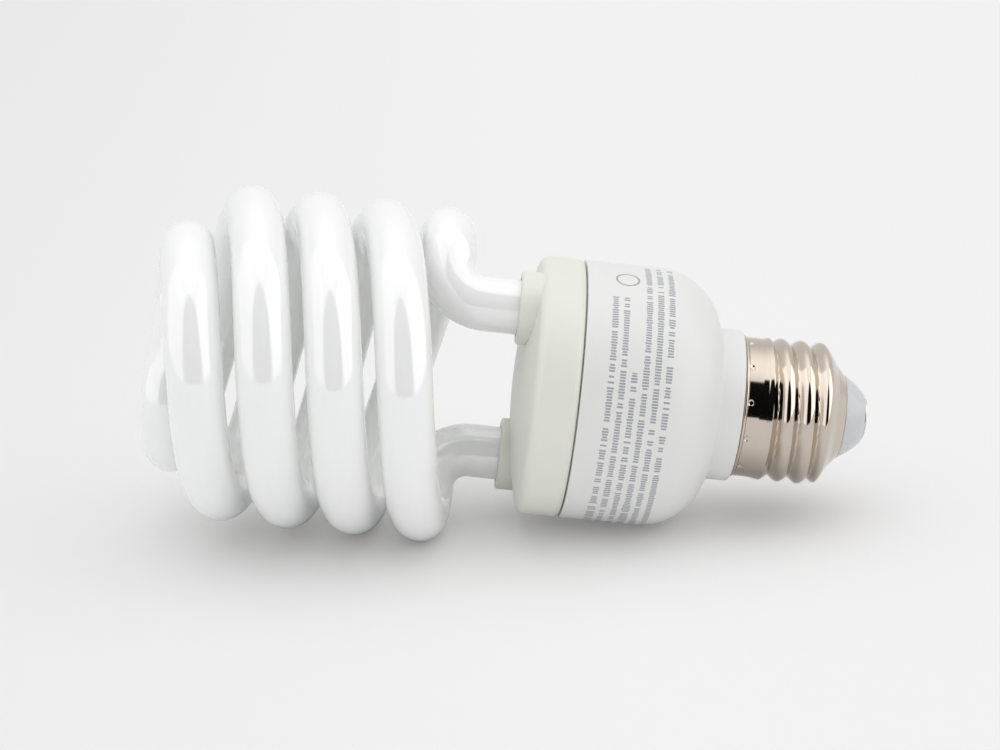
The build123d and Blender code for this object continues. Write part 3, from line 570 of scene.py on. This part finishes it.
collars = build_posts(COLLAR_RADIUS, COLLAR_END - COLLAR_DEPTH, COLLAR_END, COLLAR_SOFT)
leg_holes = build_posts(LEG_HOLE, COLLAR_END - 2 * COLLAR_DEPTH, COLLAR_END + 1.0, 0.0)
cover = cut(cut(build_cover_shell(), collars, "UNION"), leg_holes, "DIFFERENCE")
case_upper = grained("cover_cream", (0.805, 0.812, 0.74), (0.82, 0.827, 0.76), 6.0, (0.34, 0.42), 0.03)
finish_piece(cover, "case_upper_half", case_upper, "case_plastic", "tube_holder")

# %% [markdown]
# ## The screw shell
#
# The real shell is drawn from thin plated sheet, and rollers press the thread into it, so the thread
# is soft on its crests and a little sharper in its valleys. A swept ridge would look stuck on. Here a
# plain turned wall is spun with fine faces, and each vertex is pushed out by the thread's height at
# its place. The same pass presses in the row of staking dents beside the hem.

# %% Screw shell
SHELL_STEPS = 288
CREST_RADIUS = 13.03
ROOT_RADIUS = 11.95
THREAD_PITCH = 3.63
THREAD_PHASE = 5.5
CREST_FULLNESS = 0.62
NOSE_FADE = (6.6, 9.2)
BARREL_FADE = (17.9, 19.9)
BARREL_RADIUS = 12.7
BARREL_START = 18.9
HEM_RADIUS = 13.0
HEM_TOP = 23.75
HEM_HALF = 0.29
HEM_INSET = 0.28
GROOVE_DEPTH = 0.05
GROOVE_BELOW = 0.62
RINGS_STOP = 0.75
ROOT_STEP = 0.14
BARREL_STEP = 0.16
NOSE_CONE_STEPS = 6
ROUND_STEPS = 8
NOSE_RADIUS = 9.9
NOSE_START = 6.5
LIP_RADIUS = 7.75
LIP_START = 4.6
NOSE_ROUND = 1.8
NECK_LENGTH = 1.0
SHELL_WALL = 0.3
RUN_OUT_START = 18.4
RUN_OUT_LENGTH = 2.0
DENT_HEIGHT = 22.55
DENT_FIRST = -69.0
DENT_STEP = 30.0
DENT_DEPTH = 0.4
DENT_SIZE = 0.55


def smooth_share(value, low, high):
    share = min(1.0, max(0.0, (value - low) / (high - low)))
    return share * share * (3.0 - 2.0 * share)


def thread_height(degrees, height):
    """How far the rolled thread stands above its valleys at a place on the shell."""
    turns = (height - THREAD_PHASE) / THREAD_PITCH - degrees / 360.0
    from_crest = abs(turns - round(turns)) * 2.0
    round_crest = (0.5 + 0.5 * math.cos(math.pi * from_crest)) ** CREST_FULLNESS
    fade = smooth_share(height, *NOSE_FADE) * (1.0 - smooth_share(height, *BARREL_FADE))
    return (CREST_RADIUS - ROOT_RADIUS) * round_crest * fade


def crest_limit(height):
    """The crest runs out into the plain barrel, so its reach falls off towards the hem."""
    share = min(1.0, max(0.0, (height - RUN_OUT_START) / RUN_OUT_LENGTH))
    return CREST_RADIUS - (CREST_RADIUS - BARREL_RADIUS) * share


def build_shell():
    bm = bmesh.new()
    pen = Outline(bm, LIP_RADIUS - SHELL_WALL, LIP_START).to(LIP_RADIUS, LIP_START)
    for step in range(1, NOSE_CONE_STEPS + 1):
        pen.to(LIP_RADIUS + (NOSE_RADIUS - LIP_RADIUS) * step / NOSE_CONE_STEPS,
               LIP_START + (NOSE_START - LIP_START) * step / NOSE_CONE_STEPS)
    for step in range(1, ROUND_STEPS + 1):
        rise = math.sin(math.radians(90.0 * step / ROUND_STEPS))
        pen.to(NOSE_RADIUS + (ROOT_RADIUS - NOSE_RADIUS) * rise,
               NOSE_START + NOSE_ROUND * step / ROUND_STEPS)
    height = NOSE_START + NOSE_ROUND
    root_end = BARREL_START - NECK_LENGTH
    while height < root_end - 0.01:
        height = min(height + ROOT_STEP, root_end)
        pen.to(ROOT_RADIUS, height)
    for step in range(1, ROUND_STEPS + 1):
        pen.to(ROOT_RADIUS + (BARREL_RADIUS - ROOT_RADIUS) * smooth_share(step, 0, ROUND_STEPS),
               root_end + NECK_LENGTH * step / ROUND_STEPS)
    while height < HEM_TOP - RINGS_STOP:
        height = max(height, BARREL_START) + BARREL_STEP
        pen.to(BARREL_RADIUS, height)
    under_hem = HEM_TOP - 2.0 * HEM_HALF
    pen.to(BARREL_RADIUS - GROOVE_DEPTH, HEM_TOP - GROOVE_BELOW).to(BARREL_RADIUS, under_hem)
    pen.to(HEM_RADIUS - HEM_INSET, under_hem)
    pen.arc((HEM_RADIUS - HEM_INSET, HEM_TOP - HEM_HALF), 180.0, ROUND_STEPS)
    pen.to(BARREL_RADIUS - SHELL_WALL, HEM_TOP).to(BARREL_RADIUS - SHELL_WALL, BARREL_START)
    pen.to(ROOT_RADIUS - SHELL_WALL, root_end).to(ROOT_RADIUS - SHELL_WALL, NOSE_START + 1.9)
    pen.to(NOSE_RADIUS - SHELL_WALL, NOSE_START + 0.1).close()
    turn_round(bm, SHELL_STEPS)
    for vert in bm.verts:
        radius = math.hypot(vert.co.x, vert.co.y)
        degrees = math.degrees(math.atan2(vert.co.y, vert.co.x))
        outer = ROOT_RADIUS if vert.co.z > NOSE_START + NOSE_ROUND else NOSE_RADIUS
        if radius < outer - SHELL_WALL / 2.0:
            continue
        push = min(thread_height(degrees, vert.co.z), max(0.0, crest_limit(vert.co.z) - radius))
        off = (degrees - DENT_FIRST + DENT_STEP / 2) % DENT_STEP - DENT_STEP / 2
        if radius > BARREL_RADIUS - 0.1:
            reach = math.hypot(math.radians(off) * BARREL_RADIUS, vert.co.z - DENT_HEIGHT) / DENT_SIZE
            push -= DENT_DEPTH * (1.0 - smooth_share(reach, 0.25, 1.0)) if reach < 1.0 else 0.0
        vert.co.xy *= (radius + push) / radius
    return bm


nickel = grained("rolled_nickel", (0.62, 0.55, 0.475), (0.60, 0.525, 0.45), 4.0, (0.05, 0.11), 0.01,
                 metallic=1.0)
finish_piece(build_shell(), "screw_shell_rolled", nickel, "nickel", "screw_shell")

# %% [markdown]
# ## The end insulator
#
# A milky moulded piece closes the nose of the shell. It could be glass with real refraction, but it
# is so cloudy that a bluish white with a soft gloss shows the same. It is turned like the rest, and
# bevels round its edges, the widest where its two cones meet.

# %% End insulator
INSULATOR_STEPS = 128
CONTACT_HOLE = 1.35
FACE_CORNER = (4.4, 0.35)
CONES_MEET = (6.0, 1.9)
SEAT_CORNER = (7.75, 4.55)
INSULATOR_TOP = 7.9


def build_insulator():
    bm = bmesh.new()
    pen = Outline(bm, CONTACT_HOLE, 0.7).to(3.95, 0.7).to(3.95, 0.35)
    pen.to(*FACE_CORNER).to(*CONES_MEET).to(*SEAT_CORNER).to(7.4, 4.55).to(7.4, 4.65)
    pen.to(9.55, 6.65).to(9.55, INSULATOR_TOP).to(CONTACT_HOLE, INSULATOR_TOP).close()
    turn_round(bm, INSULATOR_STEPS)
    soften(bm, ring_edges(bm, *FACE_CORNER), 0.5, 4)
    soften(bm, ring_edges(bm, *CONES_MEET), 1.2, 5)
    soften(bm, ring_edges(bm, *SEAT_CORNER), 0.15, 2)
    return bm


milky = grained("milky_insulator", (0.62, 0.625, 0.64), (0.64, 0.645, 0.66), 5.0, (0.25, 0.32), 0.02)
finish_piece(build_insulator(), "insulator_cone", milky, "insulator", "end_insulator")

# %% [markdown]
# ## Finishes for what the case holds
#
# The board and its parts are hidden once the case is closed, but they are real pieces, so each solid
# carries the finish of its own kind: tinned wire, dark ferrite, enamelled copper, lacquered bodies.

# %% Materials of the inner pieces
inner_finishes = {
    "cement": grained("leg_cement", (0.83, 0.825, 0.78), (0.75, 0.745, 0.70), 1.2, (0.75, 0.9), 0.3),
    "contact": grained("tinned_contact", (0.72, 0.70, 0.67), (0.60, 0.58, 0.55), 1.5, (0.2, 0.35), 0.05,
                       metallic=1.0),
    "board": grained("board_laminate", (0.60, 0.50, 0.30), (0.50, 0.41, 0.24), 3.0, (0.45, 0.6), 0.1),
    "ferrite": grained("sintered_ferrite", (0.055, 0.055, 0.06), (0.09, 0.09, 0.095), 0.8, (0.5, 0.7), 0.2),
    "bobbin": grained("bobbin_black", (0.03, 0.03, 0.03), (0.05, 0.05, 0.05), 2.0, (0.35, 0.5), 0.05),
    "magnet_wire": grained("enamelled_copper", (0.45, 0.16, 0.05), (0.30, 0.09, 0.03), 0.5, (0.2, 0.35), 0.4),
    "can_sleeve": grained("can_sleeve", (0.02, 0.035, 0.08), (0.03, 0.05, 0.11), 5.0, (0.2, 0.3), 0.02),
    "epoxy": grained("moulded_epoxy", (0.03, 0.03, 0.03), (0.05, 0.05, 0.05), 0.6, (0.5, 0.65), 0.15),
    "film_dip": grained("dipped_film", (0.30, 0.04, 0.02), (0.36, 0.06, 0.03), 2.5, (0.2, 0.35), 0.1),
    "green_disc": grained("green_coating", (0.05, 0.12, 0.05), (0.07, 0.16, 0.06), 1.5, (0.4, 0.55), 0.1),
    "resistor_body": grained("resistor_lacquer", (0.55, 0.38, 0.20), (0.48, 0.32, 0.17), 1.0, (0.3, 0.45),
                             0.08),
    "diode_glass": grained("diode_glass", (0.35, 0.12, 0.05), (0.42, 0.17, 0.08), 1.0, (0.08, 0.15), 0.02),
    "tinned_wire": grained("tinned_wire", (0.74, 0.73, 0.72), (0.62, 0.61, 0.60), 0.7, (0.2, 0.4), 0.05,
                           metallic=1.0),
}
finish_of_slot = {**inner_finishes, "phosphor_glass": coated_glass, "nickel": nickel, "insulator": milky,
                  "case_plastic": case_lower}
slot_of_node = {part["node"]: part["material_slot"] for part in frame["record"]["subparts"]}
for name, solid in nodes_cad.items():
    solid.data.materials.clear()
    solid.data.materials.append(finish_of_slot[slot_of_node[name]])
print("finishes given to", len(nodes_cad), "solids of the frame")

# %% [markdown]
# ## Table and light
#
# The photograph was taken in a white tent: soft light from above and from both sides, a white table,
# and a dark room behind the camera. A large pale floor and one procedural world do the same. The
# world's brightness depends on the direction: an even tent, a soft box at each side, and the dark
# opening towards the camera that draws the dark ovals on the glass and the band on the metal.
# The opening and the boxes are drawn at full contrast for reflections, and softly for the light that
# falls on matt faces.

# %% Floor
FLOOR_HALF = 6.0

floor_mesh = bpy.data.meshes.new("table_top")
table_bm = bmesh.new()
bmesh.ops.create_grid(table_bm, x_segments=1, y_segments=1, size=FLOOR_HALF)
table_bm.to_mesh(floor_mesh)
table_bm.free()
table_top = bpy.data.objects.new("table_top", floor_mesh)
bpy.context.scene.collection.objects.link(table_top)
print("floor of", round(table_top.dimensions.x, 1), "m")

# %% [markdown]
# ### The table's finish
#
# A white table throws light back up at the lamp, and in the photograph it is light grey to the eye and
# a little dimmer to the left. So light that bounces finds nearly white paper, and a ray from the
# camera or from a glossy face finds the grey, with painted shade that darkens it towards the left.
# A share of plain warm white lifts the shadow. The table's own gloss is off, because at a low angle
# it would mirror the box on the right.

# %% Floor material
SHADOW_LIFT = 0.18
SHADOW_WHITE = (0.90, 0.88, 0.835)
TABLE_SEEN = (0.868, 0.868, 0.88)
# Painted shade: the darker grey that the table is given towards its left, along negative X.
TABLE_SEEN_PAINTED_SHADE = (0.785, 0.787, 0.80)
PAINTED_SHADE_FROM, PAINTED_SHADE_TO = 0.02, -0.17

table_white = grained("table_white", (0.94, 0.94, 0.94), (0.95, 0.95, 0.95), 300.0, (0.22, 0.24),
                      bump=0.0)
floor_tree = table_white.node_tree
floor_shader = floor_tree.nodes["Principled BSDF"]
floor_shader.inputs["Specular IOR Level"].default_value = 0.0
floor_path = floor_tree.nodes.new("ShaderNodeLightPath").outputs
floor_place = floor_tree.nodes.new("ShaderNodeSeparateXYZ")
feed(floor_tree, floor_place.inputs[0], floor_tree.nodes["Texture Coordinate"].outputs["Object"])
# Painted shade: the grey seen by the camera and by glossy faces darkens towards the left.
painted_shade_left = floor_tree.nodes.new("ShaderNodeMapRange")
painted_shade_left.inputs["From Min"].default_value = PAINTED_SHADE_FROM
painted_shade_left.inputs["From Max"].default_value = PAINTED_SHADE_TO
feed(floor_tree, painted_shade_left.inputs["Value"], floor_place.outputs["X"])

paper = floor_shader.inputs["Base Color"].links[0].from_socket
seen = colour_mix(floor_tree, painted_shade_left.outputs["Result"], TABLE_SEEN, TABLE_SEEN_PAINTED_SHADE)
looked_at = math_node(floor_tree, "MAXIMUM", floor_path["Is Camera Ray"], floor_path["Is Glossy Ray"])
feed(floor_tree, floor_shader.inputs["Base Color"], colour_mix(floor_tree, looked_at, paper, seen))

glow = floor_tree.nodes.new("ShaderNodeEmission")
feed(floor_tree, glow.inputs["Color"], SHADOW_WHITE)
blend = floor_tree.nodes.new("ShaderNodeMixShader")
lifted = math_node(floor_tree, "MULTIPLY", floor_path["Is Camera Ray"], SHADOW_LIFT)
feed(floor_tree, blend.inputs["Fac"], lifted)
feed(floor_tree, blend.inputs[1], floor_shader.outputs[0])
feed(floor_tree, blend.inputs[2], glow.outputs[0])
feed(floor_tree, floor_tree.nodes["Material Output"].inputs["Surface"], blend.outputs[0])
floor_mesh.materials.append(table_white)
print("table finish of", len(floor_tree.nodes), "nodes")

# %% [markdown]
# ### The tent of light
#
# Lamps behind sheets of cloth could be built as glowing planes. A world whose brightness follows the
# direction does the same for every side at once and costs no geometry.

# %% World
SOFT_LEVEL = 0.50
SOFT_TOP = 1.6
SOFT_BOX = 0.3
SOFT_OPENING = -0.05
TENT_LEVEL = 0.80
TENT_TOP = 1.5
RIGHT_BOX = 1.15
LEFT_BOX = 0.65
ROOM_LEVEL = 0.004
BACKDROP = 0.88
RIGHT_BEARING, RIGHT_LIFT = (46.0, 108.0), (-5.0, 52.0)
LEFT_BEARING, LEFT_LIFT = (-108.0, -46.0), (-5.0, 56.0)
LEFT_SHARE = 0.7
OPENING_LIFT = 27.0
OPENING_HALF_WIDTH = 38.0
OPENING_HALF_HEIGHT = 40.0
OPENING_POWER = 2.4
OPENING_EDGE = (0.85, 1.15)
BOX_SOFT_SIDE = 8.0
BOX_SOFT_LIFT = 10.0
TENT_RISE = (35.0, 80.0)
SOFT_RISE = (20.0, 80.0)

world = bpy.data.worlds.new("light_tent")
bpy.context.scene.world = world
world.use_nodes = True
sky = world.node_tree
sky.nodes.clear()


def sky_node(kind, **values):
    node = sky.nodes.new(kind)
    for key, value in values.items():
        setattr(node, key, value)
    return node


def calculate(operation, first, second=0.0):
    return math_node(sky, operation, first, second)


def ramp(value, low, high):
    """0 below low, 1 above high, smooth between them."""
    node = sky_node("ShaderNodeMapRange", interpolation_type="SMOOTHSTEP")
    feed(sky, node.inputs["Value"], value)
    node.inputs["From Min"].default_value = low
    node.inputs["From Max"].default_value = high
    return node.outputs["Result"]


direction = sky_node("ShaderNodeTexCoord").outputs["Generated"]
split = sky_node("ShaderNodeSeparateXYZ")
sky.links.new(direction, split.inputs[0])
side, back, up = split.outputs
RADIAN = math.pi / 180.0
bearing = calculate("DIVIDE", calculate("ARCTAN2", side, calculate("MULTIPLY", back, -1.0)), RADIAN)
lift = calculate("DIVIDE", calculate("ARCSINE", up), RADIAN)


def both(first, second):
    return calculate("MULTIPLY", first, second)


def choose(ray, other, own):
    """One value for rays of a kind and another for the rest."""
    node = sky_node("ShaderNodeMix", data_type="FLOAT")
    feed(sky, node.inputs["Factor"], ray)
    feed(sky, node.inputs["A"], other)
    feed(sky, node.inputs["B"], own)
    return node.outputs["Result"]


def window(value, low, high, soft):
    """1 between two angles, with soft edges outside them."""
    return both(ramp(value, low - soft, low), calculate("SUBTRACT", 1.0, ramp(value, high, high + soft)))


def light_box(sides, heights):
    """A soft box between two bearings and two lifts."""
    return both(window(bearing, *sides, BOX_SOFT_SIDE), window(lift, *heights, BOX_SOFT_LIFT))


def off_middle(angle, half):
    """How far an angle is from 0, in half widths, raised to the opening's power."""
    return calculate("POWER", calculate("ABSOLUTE", calculate("DIVIDE", angle, half)), OPENING_POWER)


def total(*parts):
    """The sum of several sockets or numbers."""
    whole = parts[0]
    for part in parts[1:]:
        whole = calculate("ADD", whole, part)
    return whole


right_box = light_box(RIGHT_BEARING, RIGHT_LIFT)
left_box = light_box(LEFT_BEARING, LEFT_LIFT)
oval = total(off_middle(bearing, OPENING_HALF_WIDTH),
             off_middle(calculate("SUBTRACT", lift, OPENING_LIFT), OPENING_HALF_HEIGHT))
opening = calculate("SUBTRACT", 1.0, ramp(oval, *OPENING_EDGE))
tent = total(TENT_LEVEL, both(ramp(lift, *TENT_RISE), TENT_TOP - TENT_LEVEL), both(right_box, RIGHT_BOX),
             both(left_box, LEFT_BOX))
mirrored = total(both(tent, calculate("SUBTRACT", 1.0, opening)), both(opening, ROOM_LEVEL))
soft = total(SOFT_LEVEL, both(ramp(lift, *SOFT_RISE), SOFT_TOP - SOFT_LEVEL), both(right_box, SOFT_BOX),
             both(left_box, LEFT_SHARE * SOFT_BOX), both(opening, SOFT_OPENING))
path = sky_node("ShaderNodeLightPath").outputs
level = choose(path["Is Camera Ray"], choose(path["Is Glossy Ray"], soft, mirrored), BACKDROP)
light = sky_node("ShaderNodeBackground")
feed(sky, light.inputs["Strength"], level)
light.inputs["Color"].default_value = (1.0, 1.0, 1.0, 1.0)
sky.links.new(light.outputs[0], sky_node("ShaderNodeOutputWorld").inputs["Surface"])
print("world of", len(sky.nodes), "nodes")

# %% [markdown]
# ## Camera
#
# A long lens from a little above the table, as in the photograph. Its place was found by fitting the
# rim of the cap, the seam and the bands of the coil to where they lie in the picture.

# %% Camera
CAMERA_PLACE = Vector((-0.0029, -0.4489, 0.1723))
CAMERA_DOWN = math.radians(17.78)
CAMERA_RIGHT = math.radians(0.28)
CAMERA_ROLL = math.radians(-1.82)
FOCAL_SHARE = 2.6

lens = bpy.data.cameras.new("photo_camera")
lens.sensor_width = 36.0
lens.lens = 36.0 * FOCAL_SHARE
lens.clip_start, lens.clip_end = 0.01, 50.0
camera = bpy.data.objects.new("photo_camera", lens)
bpy.context.scene.collection.objects.link(camera)
bpy.context.scene.camera = camera
forward = Vector((math.sin(CAMERA_RIGHT) * math.cos(CAMERA_DOWN),
                  math.cos(CAMERA_RIGHT) * math.cos(CAMERA_DOWN),
                  -math.sin(CAMERA_DOWN)))
level_right = Vector((math.cos(CAMERA_RIGHT), -math.sin(CAMERA_RIGHT), 0.0))
level_up = level_right.cross(forward)
right = math.cos(CAMERA_ROLL) * level_right + math.sin(CAMERA_ROLL) * level_up
above = -math.sin(CAMERA_ROLL) * level_right + math.cos(CAMERA_ROLL) * level_up
axes = Matrix((right, above, -forward)).transposed()
camera.matrix_world = Matrix.Translation(CAMERA_PLACE) @ axes.to_4x4()
bpy.context.scene.view_settings.view_transform = "Standard"
print("camera", round(math.degrees(CAMERA_DOWN), 1), "degrees down,", round(lens.lens, 1), "mm lens")
